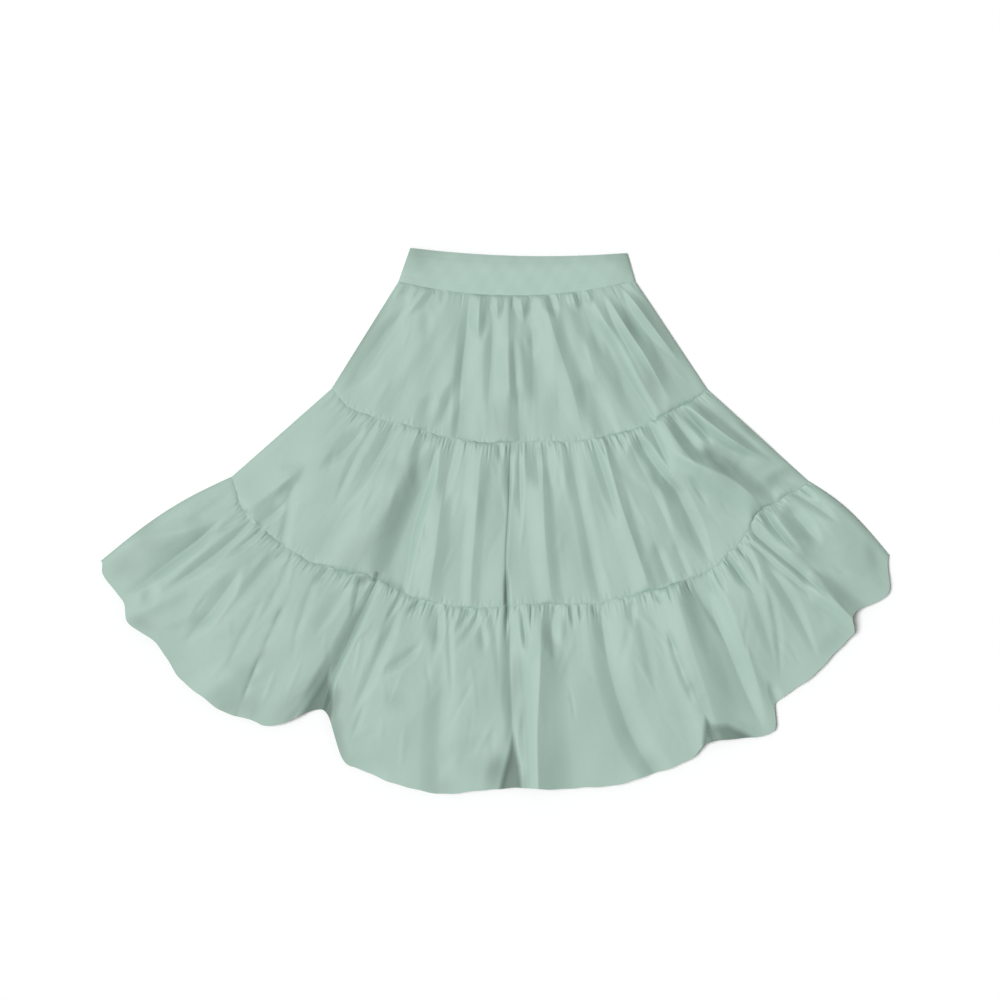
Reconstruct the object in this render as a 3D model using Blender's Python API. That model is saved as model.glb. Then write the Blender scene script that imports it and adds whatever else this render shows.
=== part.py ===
"""A cotton sateen tiered skirt, laid flat on its back panels.

The skirt lies in the XY plane with its waist towards +Y and its front facing +Z.  The
origin is the bottom centre of its box.  Every length is in metres.

Places on the skirt are given by two numbers.  The share runs across it, from 0 at the
left side edge to 1 at the right one.  The drop runs down it: 0 is the waist seam, 1 and 2
are the gathered seams below the first and second tiers, and 3 is the hem.
"""
import math
from collections import namedtuple

import bmesh
import bpy
import numpy as np

# Driving dimensions
TIER_WALL = 0.0014        # thickness of the tiers' cloth
BAND_WALL = 0.0022        # thickness of the waistband, cloth folded over its facing
SEAM_GAP = 0.0003         # clear space between two pieces at a seam
LAYER_GAP = 0.0006        # clear space between the front and back layers
EDGE_ROUND = 0.030        # the front layer rounds down over this width to the side edge
HEM_RISE = 0.012          # the front hem stands this clear of the back between its folds
SIDE_BULGE = 0.012        # how far the lowest tier's side edge bows out
BACK_HEM_INSET = 0.006    # the back hem lies this far inside the front hem
BAND_CLEAR = 0.0010       # the front band stands this much clearer of the back than it must
BACK_BAND_DIP = 0.003     # the back waist edge lies this far below the front one
BAND_CROWN = 0.0012       # the band rises this much between its seam and its top edge
ELASTIC_RIBS = 12         # small gathers inside the elasticated back band
ELASTIC_RIB_RISE = 0.0006
BACK_GATHER_RISE = 0.0025 # the back layer's gathers stand this high below each seam

# The five lines that run across the skirt.  Each is an arc, by its middle point, its radius
# and the directions of its left and right ends, in degrees from straight down.
Arc = namedtuple("Arc", "middle_x middle_y radius left right")
LINES = {
    "waist": Arc(0.073, 2.065, 1.655, -7.2, 4.5),
    "waist_seam": Arc(0.028, 1.107, 0.758, -13.8, 14.3),
    "upper_seam": Arc(0.037, 0.635, 0.521, -34.3, 34.0),
    "lower_seam": Arc(0.039, 0.455, 0.597, -49.3, 48.5),
    "hem": Arc(-0.002, 0.278, 0.706, -60.8, 61.4),
}
LINE_ORDER = ("waist_seam", "upper_seam", "lower_seam", "hem")

# How far each line swings out of its arc where the folds push or draw it.
Swing = namedtuple("Swing", "share reach")
SWINGS = {
    "upper_seam": (
        Swing(0.00, 0.001), Swing(0.06, 0.011), Swing(0.14, 0.005), Swing(0.22, -0.003),
        Swing(0.32, -0.001), Swing(0.40, -0.003), Swing(0.54, -0.007), Swing(0.68, 0.000),
        Swing(0.80, 0.003), Swing(0.90, 0.001), Swing(0.97, 0.002), Swing(1.00, 0.000),
    ),
    "lower_seam": (
        Swing(0.00, 0.000), Swing(0.05, 0.020), Swing(0.12, 0.021), Swing(0.17, 0.019),
        Swing(0.21, 0.009), Swing(0.27, -0.006), Swing(0.35, 0.003), Swing(0.40, 0.002),
        Swing(0.52, -0.010), Swing(0.64, -0.001), Swing(0.74, 0.005), Swing(0.80, 0.012),
        Swing(0.85, 0.001), Swing(0.915, -0.021), Swing(0.95, -0.012), Swing(1.00, 0.000),
    ),
    "hem": (
        Swing(0.000, -0.003), Swing(0.012, 0.005), Swing(0.045, 0.000), Swing(0.068, 0.014),
        Swing(0.099, 0.000), Swing(0.150, 0.012), Swing(0.190, 0.011), Swing(0.240, -0.006),
        Swing(0.293, -0.071), Swing(0.345, -0.006), Swing(0.430, 0.004), Swing(0.510, -0.010),
        Swing(0.645, 0.011), Swing(0.705, 0.012), Swing(0.724, 0.001), Swing(0.788, 0.040),
        Swing(0.807, 0.007), Swing(0.860, 0.012), Swing(0.912, 0.013), Swing(0.926, -0.006),
        Swing(0.965, 0.020), Swing(1.000, -0.007),
    ),
}

# One row for each large fold of the front: the drop at its top, turn and end, the share at
# each of the three, half its width, and its height, which is below zero for a trough.
Fold = namedtuple("Fold", "top turn end at_top at_turn at_end half rise")
FRONT_FOLDS = (
    Fold(0.10, 0.50, 1.00, 0.035, 0.028, 0.026, 0.012, -0.003),
    Fold(-0.05, 0.60, 1.10, 0.290, 0.318, 0.255, 0.013, -0.004),
    Fold(-0.05, 0.10, 0.30, 0.368, 0.380, 0.395, 0.010, -0.002),
    Fold(-0.05, 0.60, 1.20, 0.464, 0.488, 0.500, 0.012, -0.005),
    Fold(-0.05, 0.26, 0.75, 0.526, 0.542, 0.524, 0.009, -0.002),
    Fold(-0.05, 0.69, 1.15, 0.620, 0.662, 0.712, 0.012, -0.004),
    Fold(-0.05, 0.41, 0.90, 0.746, 0.740, 0.790, 0.010, -0.003),
    Fold(-0.05, 0.47, 1.10, 0.800, 0.832, 0.842, 0.012, -0.004),
    Fold(-0.05, 0.48, 1.10, 0.870, 0.898, 0.904, 0.013, -0.005),
    Fold(-0.05, 0.38, 0.95, 0.944, 0.970, 0.972, 0.010, -0.003),
    Fold(1.10, 1.48, 2.05, 0.120, 0.076, 0.060, 0.018, -0.006),
    Fold(1.00, 1.40, 1.80, 0.132, 0.142, 0.152, 0.014, -0.005),
    Fold(1.00, 1.30, 1.60, 0.168, 0.174, 0.180, 0.013, -0.004),
    Fold(0.95, 1.53, 2.10, 0.246, 0.262, 0.278, 0.024, -0.009),
    Fold(1.45, 1.75, 2.10, 0.330, 0.350, 0.372, 0.015, -0.005),
    Fold(1.00, 1.45, 2.00, 0.404, 0.420, 0.440, 0.014, -0.004),
    Fold(0.95, 1.57, 2.20, 0.476, 0.480, 0.486, 0.015, -0.010),
    Fold(0.98, 1.46, 2.00, 0.554, 0.558, 0.558, 0.014, -0.004),
    Fold(0.98, 1.48, 2.00, 0.626, 0.618, 0.624, 0.014, -0.004),
    Fold(1.00, 1.50, 2.10, 0.718, 0.716, 0.714, 0.018, -0.008),
    Fold(1.00, 1.42, 2.00, 0.796, 0.792, 0.800, 0.018, -0.008),
    Fold(0.98, 1.30, 2.00, 0.886, 0.888, 0.922, 0.026, -0.007),
    Fold(1.05, 1.45, 1.80, 0.930, 0.956, 0.980, 0.020, 0.003),
    Fold(2.05, 2.40, 2.80, 0.056, 0.040, 0.016, 0.018, -0.007),
    Fold(2.20, 2.74, 3.30, 0.114, 0.102, 0.086, 0.024, -0.009),
    Fold(2.00, 2.20, 2.50, 0.126, 0.130, 0.132, 0.015, -0.005),
    Fold(2.05, 2.30, 2.60, 0.190, 0.215, 0.228, 0.020, -0.007),
    Fold(1.90, 2.50, 3.30, 0.270, 0.272, 0.298, 0.034, -0.018),
    Fold(2.10, 2.40, 2.80, 0.324, 0.320, 0.318, 0.022, -0.005),
    Fold(2.00, 2.50, 3.30, 0.364, 0.405, 0.440, 0.022, -0.012),
    Fold(1.95, 2.60, 3.30, 0.484, 0.504, 0.518, 0.026, -0.015),
    Fold(1.98, 2.45, 3.30, 0.550, 0.552, 0.574, 0.024, -0.009),
    Fold(1.98, 2.50, 3.30, 0.610, 0.624, 0.652, 0.022, -0.012),
    Fold(2.00, 2.40, 2.85, 0.672, 0.676, 0.682, 0.020, -0.005),
    Fold(2.00, 2.40, 3.30, 0.750, 0.747, 0.750, 0.020, -0.011),
    Fold(2.00, 2.40, 2.80, 0.780, 0.790, 0.800, 0.018, -0.005),
    Fold(2.05, 2.53, 3.10, 0.880, 0.872, 0.858, 0.018, -0.007),
    Fold(1.98, 2.50, 3.30, 0.886, 0.906, 0.940, 0.022, -0.010),
    Fold(2.10, 2.40, 2.80, 0.950, 0.955, 0.975, 0.018, -0.005),
)

# One row for each tier: how high its front layer stands clear of the back at its seams and
# between them, its gathers on each layer, their height, and how far down the tier they run.
Tier = namedtuple("Tier", "seam_rise middle_rise front_gathers back_gathers gather_rise gather_run")
TIERS = {
    1: Tier(0.0030, 0.0070, 22, 14, 0.0018, 0.55),
    2: Tier(0.0045, 0.0125, 40, 24, 0.0028, 0.50),
    3: Tier(0.0060, 0.0200, 56, 32, 0.0034, 0.42),
}
FRONT_PARTS = {
    1: (0.0, 0.08, 0.20, 0.38, 0.58, 0.80, 1.0),
    2: (0.0, 0.06, 0.16, 0.30, 0.46, 0.64, 0.82, 1.0),
    3: (0.0, 0.06, 0.15, 0.27, 0.42, 0.58, 0.74, 0.88, 1.0),
}
BACK_PARTS = (0.0, 0.07, 0.20, 0.45, 1.0)

# The lowest tier is cut as three strips.  Two of its seams show on the front, and the two
# outer strips wrap round the side edges and meet on the back.  Each join has the shares of
# its two edges at the upper seam, from where the front's two lean outwards down to the hem.
JOIN_HALF = 0.5 * SEAM_GAP / 1.02
LEFT_JOIN = (0.170 - JOIN_HALF, 0.170 + JOIN_HALF)
RIGHT_JOIN = (0.707 - JOIN_HALF, 0.707 + JOIN_HALF)
Lean = namedtuple("Lean", "share reach spread")
JOIN_LEANS = (Lean(0.170, 0.045, 0.15), Lean(0.707, 0.0255, 0.15))
BACK_JOIN = (0.555 - JOIN_HALF, 0.555 + JOIN_HALF)
FRONT_STOPS = {1: (0.0, 1.0), 2: (0.0, 1.0), 3: (0.0, *LEFT_JOIN, *RIGHT_JOIN, 1.0)}
BACK_STOPS = {1: (0.0, 1.0), 2: (0.0, 1.0), 3: (0.0, *BACK_JOIN, 1.0)}

# One row of points across a wall, with each column's key in order across.
Row = namedtuple("Row", "keys outer inner")

CLOTH_COLOUR = (0.392, 0.540, 0.468, 1.0)
CLOTH_ROUGHNESS = 0.55


def ease(value):
    """Run smoothly from 0 to 1 while the value does, and stay there beyond."""
    part = np.clip(value, 0.0, 1.0)
    return part * part * (3.0 - 2.0 * part)


def swing(name, share):
    """Read a line's reach out of its arc, eased from each row of its table to the next."""
    rows = SWINGS.get(name)
    if rows is None:
        return np.zeros_like(share)
    places = np.array([row.share for row in rows])
    reaches = np.array([row.reach for row in rows])
    after = np.clip(np.searchsorted(places, share), 1, len(rows) - 1)
    part = (share - places[after - 1]) / (places[after] - places[after - 1])
    return reaches[after - 1] + (reaches[after] - reaches[after - 1]) * ease(part)


def line_points(name, share, inset=0.0):
    """Give the XY points of a line at each share, drawn in towards the waist by the inset."""
    arc = LINES[name]
    angle = np.radians(arc.left + (arc.right - arc.left) * share)
    radius = arc.radius + swing(name, share) - inset
    return np.stack([arc.middle_x + radius * np.sin(angle),
                     arc.middle_y - radius * np.cos(angle)], axis=-1)


def line_length(name):
    """Give the length of a line's arc from side edge to side edge."""
    arc = LINES[name]
    return arc.radius * math.radians(arc.right - arc.left)


def side_weight(share, width):
    """Run from 0 at either side edge to 1 beyond the width, as a quarter circle does."""
    inward = np.clip(np.minimum(share, 1.0 - share) / width, 0.0, 1.0)
    return np.sqrt(inward * (2.0 - inward))


def tier_points(tier, share, part, back=False):
    """Give XY points of a tier, on straight lines from its upper seam to its lower one."""
    upper = line_points(LINE_ORDER[tier - 1], share)
    inset = 0.0
    if back and tier == 3:
        inset = BACK_HEM_INSET * side_weight(share, 0.03)
    lower = line_points(LINE_ORDER[tier], share, inset)
    points = upper + (lower - upper) * part[..., None]
    if tier == 3:
        bow = SIDE_BULGE * np.sin(math.pi * part) * (1.0 - ease(np.minimum(share, 1.0 - share) / 0.06))
        points[..., 1] += bow
    return points


def leaning(tier, share, part):
    """Shift the lowest tier's front shares sideways near its two joins, more towards the hem."""
    if tier < 3:
        return share
    shifted = share
    for lean in JOIN_LEANS:
        near = 1.0 - ease(np.abs(share - lean.share) / lean.spread)
        shifted = shifted + lean.reach * part * near
    return shifted


def width_at(drop):
    """Give the skirt's width along its curve at a drop, from seam to seam."""
    return np.interp(drop, (0, 1, 2, 3), [line_length(name) for name in LINE_ORDER])


def fold_relief(share, drop):
    """Add up the large folds, each a cosine hump or trough that fades at both its ends."""
    total = np.zeros_like(share)
    for fold in FRONT_FOLDS:
        middle = np.interp(drop, (fold.top, fold.turn, fold.end),
                           (fold.at_top, fold.at_turn, fold.at_end))
        away = np.abs(share - middle) * width_at(drop) / fold.half
        along = (drop - fold.top) / (fold.end - fold.top)
        fade = ease(along / 0.15) * ease((1.0 - along) / 0.25)
        total += fold.rise * fade * (0.5 + 0.5 * np.cos(math.pi * np.clip(away, 0.0, 1.0)))
    return total


def gather_phase(count, share):
    """Count the gathers from the left edge, closer together in some stretches than others."""
    uneven = 0.012 * np.sin(6.1 * math.pi * share) + 0.006 * np.sin(14.3 * math.pi * share + 1.0)
    return count * (share + uneven * np.sin(math.pi * share))


def gather_shares(count, stops=(0.0, 1.0)):
    """Give the shares of the gathers' crests and troughs, with a column at every stop."""
    fine = np.linspace(0.0, 1.0, 4001)
    halves = np.arange(0, 2 * count + 1) / 2.0
    shares = np.interp(halves, gather_phase(count, fine), fine)
    apart = np.min(np.abs(shares[:, None] - np.array(stops)), axis=1)
    return np.sort(np.concatenate([shares[apart > 0.3 / count], stops]))


def gather_relief(count, rise, run, share, part):
    """Ripple below a seam: low at the seam, full a little below it, then fading out."""
    reach = run * (1.0 + 0.35 * np.sin(23.0 * share + 0.7))
    swell = 0.4 + 0.6 * ease(part / 0.08)
    fade = 1.0 - ease(part / reach)
    return rise * swell * fade * np.cos(2.0 * math.pi * gather_phase(count, share))


def back_top(tier, share, part):
    """Give the height of the back layer's upper face, flat but for its gathers."""
    row = TIERS[tier]
    ripple = gather_relief(row.back_gathers, 0.5, row.gather_run, share, part)
    lift = BACK_GATHER_RISE * (ripple + 0.5 * (1.0 - ease(part / row.gather_run)))
    return TIER_WALL + np.clip(lift, 0.0, None) * side_weight(share, 0.04)


def back_clearance(tier, share, part):
    """Give a height that the back layer's upper face never reaches."""
    gathers = 1.0 - ease(part / 0.9)
    if tier < 3:
        gathers = gathers + ease((part - 0.75) / 0.25)
    return TIER_WALL + LAYER_GAP + BACK_GATHER_RISE * gathers * side_weight(share, 0.04)


def front_under(tier, share, part):
    """Give the height of the front layer's lower face."""
    row = TIERS[tier]
    drop = tier - 1 + part
    above = TIERS[tier - 1].seam_rise if tier > 1 else 0.0
    pinch = above + (row.seam_rise - above) * part
    if tier == 3:
        pinch = above + (row.middle_rise - above) * ease(part / 0.35)
        swell = (HEM_RISE - row.middle_rise) * ease((part - 0.35) / 0.65)
    else:
        swell = (row.middle_rise - pinch) * ease(part / 0.30) * ease((1.0 - part) / 0.16)
    ripple = gather_relief(row.front_gathers, row.gather_rise, row.gather_run, share, part)
    height = pinch + swell + fold_relief(share, drop) + ripple
    height = 0.5 * (height + np.sqrt(height * height + 4.0e-7))
    rounding = side_weight(share, EDGE_ROUND / width_at(drop))
    return back_clearance(tier, share, part) + height * rounding


def front_over(tier, share, part):
    """Give the height of the front layer's upper face, one true wall thickness above the lower."""
    step = 0.002
    under = front_under(tier, share, part)
    here = stack(tier_points(tier, share, part), under)
    beside = stack(tier_points(tier, share + step, part), front_under(tier, share + step, part))
    below = stack(tier_points(tier, share, part + step), front_under(tier, share, part + step))
    normal = np.cross(beside - here, below - here)
    upright = np.abs(normal[..., 2]) / np.linalg.norm(normal, axis=-1)
    return under + TIER_WALL / np.clip(upright, 0.6, 1.0)


def stack(points, height):
    """Join XY points and their heights into XYZ points."""
    return np.concatenate([points, np.broadcast_to(height, points.shape[:-1])[..., None]], axis=-1)


def cloth_material(name):
    """Make the material of one piece: pale green cotton sateen."""
    material = bpy.data.materials.new(name + "_cloth")
    material.use_nodes = True
    shader = material.node_tree.nodes["Principled BSDF"]
    shader.inputs["Base Color"].default_value = CLOTH_COLOUR
    shader.inputs["Roughness"].default_value = CLOTH_ROUGHNESS
    shader.inputs["Metallic"].default_value = 0.0
    material.diffuse_color = CLOTH_COLOUR
    return material


def zip_rows(mesh, upper, lower, upper_keys, lower_keys):
    """Fill the band between two rows of vertices whose columns need not match."""
    high, low = 0, 0
    while high < len(upper) - 1 or low < len(lower) - 1:
        ended = low == len(lower) - 1
        if ended or (high < len(upper) - 1 and upper_keys[high + 1] <= lower_keys[low + 1]):
            mesh.faces.new((upper[high], upper[high + 1], lower[low]))
            high += 1
        else:
            mesh.faces.new((upper[high], lower[low + 1], lower[low]))
            low += 1


def build_wall(name, rows):
    """Close rows of outer and inner points, each with its keys across, into one wall of cloth."""
    mesh = bmesh.new()
    outer = [[mesh.verts.new(point) for point in row.outer] for row in rows]
    inner = [[mesh.verts.new(point) for point in row.inner] for row in rows]
    for side in (outer, inner):
        for upper, lower, above, below in zip(side, side[1:], rows, rows[1:]):
            zip_rows(mesh, upper, lower, above.keys, below.keys)
    rims = []
    for side in (outer, inner):
        right = [row[-1] for row in side[1:]]
        left = [row[0] for row in side[-2:0:-1]]
        rims.append(side[0] + right + side[-1][-2::-1] + left)
    around = list(zip(*rims))
    for (out, inn), (next_out, next_inn) in zip(around, around[1:] + around[:1]):
        mesh.faces.new((out, next_out, inn))
        mesh.faces.new((next_out, next_inn, inn))
    bmesh.ops.recalc_face_normals(mesh, faces=mesh.faces)
    data = bpy.data.meshes.new(name)
    mesh.to_mesh(data)
    mesh.free()
    data.shade_smooth()
    data.set_sharp_from_angle(angle=math.radians(50))
    data.materials.append(cloth_material(name))
    piece = bpy.data.objects.new(name, data)
    bpy.context.scene.collection.objects.link(piece)


def seam_margin(tier):
    """Give the part of a tier's depth that half a seam gap takes."""
    upper = line_points(LINE_ORDER[tier - 1], np.array([0.5]))
    lower = line_points(LINE_ORDER[tier], np.array([0.5]))
    return 0.5 * SEAM_GAP / float(np.linalg.norm(lower - upper))


def front_shares(tier):
    """Give every column's share on a tier's front layer."""
    return gather_shares(TIERS[tier].front_gathers, FRONT_STOPS[tier])


def back_shares(tier):
    """Give every column's share on a tier's back layer."""
    return gather_shares(TIERS[tier].back_gathers, BACK_STOPS[tier])


def tier_rows(tier, parts, shares_of):
    """Pair each row's place down a tier with its columns, which at a seam are the next tier's."""
    margin = seam_margin(tier)
    last = 1.0 if tier == 3 else 1.0 - margin
    places = [margin, *parts[1:-1], last]
    columns = [shares_of(tier)] * (len(parts) - 1) + [shares_of(min(tier + 1, 3))]
    return list(zip(places, columns))


def within(shares, start, end):
    """Keep the shares from the start to the end, both included."""
    return shares[(shares > start - 1.0e-9) & (shares < end + 1.0e-9)]


def front_rows(tier, start=0.0, end=1.0):
    """Give the rows of a stretch of a tier's front layer."""
    rows = []
    for place, columns in tier_rows(tier, FRONT_PARTS[tier], front_shares):
        keys = within(columns, start, end)
        part = np.full_like(keys, place)
        share = leaning(tier, keys, part)
        points = tier_points(tier, share, part)
        over = stack(points, front_over(tier, share, part))
        rows.append(Row(keys, over, stack(points, front_under(tier, share, part))))
    return rows


def back_rows(tier, parts, start=0.0, end=1.0):
    """Give the rows of a stretch of a tier's back layer, which rests flat on its outer face."""
    rows = []
    for place, columns in tier_rows(tier, parts, back_shares):
        share = within(columns, start, end)
        part = np.full_like(share, place)
        points = tier_points(tier, share, part, back=True)
        rows.append(Row(share, stack(points, 0.0), stack(points, back_top(tier, share, part))))
    return rows


def build_side_strip(name, front, back, edge):
    """Build an outer strip: its front layer, the fold at the side edge and its back layer."""
    outward = np.array([math.copysign(1.0, edge - 0.5), 0.0, 0.0])
    side = 0 if edge == 0.0 else -1
    rows = []
    for over, under in zip(front, back):
        middle = 0.5 * (over.inner[side] + under.inner[side])
        fold_inner = middle + outward * LAYER_GAP
        fold_outer = middle + outward * (LAYER_GAP + TIER_WALL)
        order = 1 if edge else -1
        keys = np.concatenate([order * over.keys - edge, [0.0], edge - order * under.keys])
        outer = np.concatenate([over.outer[::order], [fold_outer], under.outer[::-order]])
        inner = np.concatenate([over.inner[::order], [fold_inner], under.inner[::-order]])
        rows.append(Row(np.sort(keys), outer, inner))
    build_wall(name, rows)


def build_lowest_tier():
    """Build the lowest tier's three strips."""
    parts = FRONT_PARTS[3]
    build_wall("tier_3_centre", front_rows(3, LEFT_JOIN[1], RIGHT_JOIN[0]))
    build_side_strip("tier_3_left", front_rows(3, 0.0, LEFT_JOIN[0]),
                     back_rows(3, parts, 0.0, BACK_JOIN[0]), 0.0)
    build_side_strip("tier_3_right", front_rows(3, RIGHT_JOIN[1], 1.0),
                     back_rows(3, parts, BACK_JOIN[1], 1.0), 1.0)


def band_rows(parts, foot_shares, top_inset, faces):
    """Give the rows of one layer of the waistband, whose faces a function sets in height."""
    rows = []
    gap = SEAM_GAP / float(np.linalg.norm(line_points("waist", np.array([0.5]))
                                          - line_points("waist_seam", np.array([0.5]))))
    for part in parts:
        share = foot_shares
        top = line_points("waist", share)
        top[..., 1] -= top_inset * side_weight(share, 0.03)
        foot = line_points("waist_seam", share)
        points = top + (foot - top) * part * (1.0 - gap)
        low, high = faces(share, part)
        rows.append(Row(share, stack(points, high), stack(points, low)))
    return rows


def band_front_faces(share, part):
    """Give the smooth front band's lower and upper faces, a little crowned."""
    crown = BAND_CROWN * math.sin(math.pi * part)
    lift = (crown + ELASTIC_RIB_RISE + BAND_CLEAR) * side_weight(share, 0.06)
    low = BAND_WALL + LAYER_GAP + lift
    return low, low + BAND_WALL


def band_back_faces(share, part):
    """Give the elasticated back band's flat lower face and ribbed upper one."""
    ribs = ELASTIC_RIB_RISE * np.sin(math.pi * ELASTIC_RIBS * share) ** 2 * side_weight(share, 0.06)
    return np.zeros_like(share), BAND_WALL + ribs


def build_waistband():
    """Build the smooth front and the elasticated back of the waistband."""
    front = band_rows((0.0, 0.25, 0.5, 0.75, 1.0), front_shares(1), 0.0, band_front_faces)
    build_wall("waistband_front", front)
    back = band_rows((0.0, 0.5, 1.0), back_shares(1), BACK_BAND_DIP, band_back_faces)
    build_wall("waistband_back", back)


def clear_scene():
    """Remove every object that the file opened with."""
    for thing in list(bpy.data.objects):
        bpy.data.objects.remove(thing, do_unlink=True)


def main():
    clear_scene()
    build_waistband()
    for tier in (1, 2):
        build_wall(f"tier_{tier}_front", front_rows(tier))
        build_wall(f"tier_{tier}_back", back_rows(tier, BACK_PARTS))
    build_lowest_tier()


main()
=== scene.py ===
import math

import bpy
import numpy as np
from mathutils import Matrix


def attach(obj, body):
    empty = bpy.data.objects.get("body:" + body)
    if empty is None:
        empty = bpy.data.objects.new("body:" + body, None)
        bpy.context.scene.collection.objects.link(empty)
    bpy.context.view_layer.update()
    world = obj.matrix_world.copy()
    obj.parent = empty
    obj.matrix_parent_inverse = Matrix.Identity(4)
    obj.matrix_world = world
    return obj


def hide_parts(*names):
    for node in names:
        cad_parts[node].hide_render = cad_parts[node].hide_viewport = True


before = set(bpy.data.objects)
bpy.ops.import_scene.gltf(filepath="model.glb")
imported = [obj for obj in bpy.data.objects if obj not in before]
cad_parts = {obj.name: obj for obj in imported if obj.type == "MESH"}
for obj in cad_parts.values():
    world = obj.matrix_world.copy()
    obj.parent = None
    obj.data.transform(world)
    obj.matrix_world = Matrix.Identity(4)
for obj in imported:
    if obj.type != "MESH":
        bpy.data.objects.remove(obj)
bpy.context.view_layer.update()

print("frame loaded,", len(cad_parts), "nodes")

# The skirt lies flat with its waist towards +Y and its front up. share runs across it, from 0 at
# the left side edge to 1 at the right one. drop runs down it: 0 at the waist seam, 1 and 2 at the
# gathered seams under the first and second tiers, 3 at the hem, and part is how far down its own
# tier a place is. Lengths are metres, and mm where a table says so.

outline = {
    # each line is an arc: middle x and y, radius, left and right ends in degrees from straight down
    "arcs": {
        "waist": (0.073, 2.065, 1.655, -7.2, 4.5),
        "waistSeam": (0.028, 1.107, 0.758, -13.8, 14.3),
        "upperSeam": (0.037, 0.635, 0.521, -34.3, 34.0),
        "lowerSeam": (0.039, 0.455, 0.597, -49.3, 48.5),
        "hem": (-0.002, 0.278, 0.706, -60.8, 61.4),
    },
    # how far each line swings out of its arc: share in thousandths, reach in mm
    "swings": {
        "upperSeam": (
            (0, 1), (60, 11), (140, 5), (220, -3), (320, -1), (400, -3), (540, -7), (680, 0),
            (800, 3), (900, 1), (970, 2), (1000, 0),
        ),
        "lowerSeam": (
            (0, 0), (50, 20), (120, 21), (170, 19), (210, 9), (270, -6), (350, 3), (400, 2),
            (520, -10), (640, -1), (740, 5), (800, 12), (850, 1), (915, -21), (950, -12), (1000, 0),
        ),
        "hem": (
            (0, -3), (12, 5), (45, 0), (68, 14), (99, 0), (150, 12), (190, 11), (240, -6),
            (293, -71), (345, -6), (430, 4), (510, -10), (645, 11), (705, 12), (724, 1), (788, 40),
            (807, 7), (860, 12), (912, 13), (926, -6), (965, 20), (1000, -7),
        ),
    },
    # how the stitches draw a line a little to and fro: waves across, reach in metres
    "wobbles": {
        "upperSeam": ((29, 0.0004), (47, 0.0003), (71, 0.0002)),
        "lowerSeam": ((31, 0.0005), (59, 0.0004), (97, 0.0003)),
        "hem": ((17, 0.0008), (41, 0.0004)),
    },
    "wobbleFade": 0.05,       # share over which the wobbles fade out at the side edges
    "sideBow": 0.012,         # the lowest tier's side edge bows out this far
    "sideBowShare": 0.06,
    "backHemInset": 0.006,
    "backInsetShare": 0.03,
}


def ease(value):
    # smooth step: t t (3 - 2 t), held at 0 and 1 outside
    t = np.clip(value, 0.0, 1.0)
    return t * t * (3.0 - 2.0 * t)


def easedTable(rows, share):
    # reads a table of places and values in thousandths, eased between neighbouring rows
    places, values = np.array(rows).T / 1000.0
    after = np.clip(np.searchsorted(places, share), 1, len(places) - 1)
    part = (share - places[after - 1]) / (places[after] - places[after - 1])
    return values[after - 1] + (values[after] - values[after - 1]) * ease(part)


def sideWeight(share, width):
    # quarter circle: 0 at a side edge, 1 from the width inwards
    t = np.clip(np.minimum(share, 1.0 - share) / width, 0.0, 1.0)
    return np.sqrt(t * (2.0 - t))


def lineAt(name, share, inset=0.0):
    # arc: middle + reach (sin a, -cos a), the angle a running from the left end to the right
    middleX, middleY, radius, left, right = outline["arcs"][name]
    angle = np.radians(left + (right - left) * share)
    reach = radius - inset
    if name in outline["swings"]:
        reach = reach + easedTable(outline["swings"][name], share)
        for waves, size in outline["wobbles"][name]:
            wave = np.sin(2.0 * math.pi * waves * share + waves)
            reach = reach + size * wave * sideWeight(share, outline["wobbleFade"])
    return np.stack([middleX + reach * np.sin(angle), middleY - reach * np.cos(angle)], axis=-1)


def lineLength(name):
    # the arc's radius times its angle
    _, _, radius, left, right = outline["arcs"][name]
    return radius * math.radians(right - left)


def widthAt(drop):
    # the cloth's width at a drop, straight between the lengths of the four lines below the band
    lines = ("waistSeam", "upperSeam", "lowerSeam", "hem")
    return np.interp(drop, range(len(lines)), [lineLength(name) for name in lines])


def tierAt(tier, share, part, back=False):
    # straight from the tier's upper line to its lower one; the lowest tier's sides bow out by a
    # half sine wave, and its back hem lies a little inside the front one
    upperName, lowerName = tier["lines"]
    lowest = lowerName == "hem"
    upper = lineAt(upperName, share)
    inset = 0.0
    if back and lowest:
        inset = outline["backHemInset"] * sideWeight(share, outline["backInsetShare"])
    points = upper + (lineAt(lowerName, share, inset) - upper) * part[..., None]
    if lowest:
        nearSide = 1.0 - ease(np.minimum(share, 1.0 - share) / outline["sideBowShare"])
        points[..., 1] += outline["sideBow"] * np.sin(math.pi * part) * nearSide
    return points


# how a listed fold is cut out of its row
foldSize = {
    "height": 1.6,            # times the row's height
    "wideHeight": 0.03,       # and this much more for each mm of its half width
    "fall": 1.2,              # times the half width of the side that falls to the right
    "other": 2.4,             # and of the other side
    "sharp": 0.15,            # added to how sharp it is
    "calm": 0.35,             # times the sharpness on the other side
}


def placed(rows):
    # listed rows give places down in hundredths, shares in thousandths, and their height and
    # sharpness in tenths
    return [(*np.divide(row[:3], 100.0), *np.divide(row[3:6], 1000.0), *row[6:9],
             *np.divide(row[9:], 10.0)) for row in rows]


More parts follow.
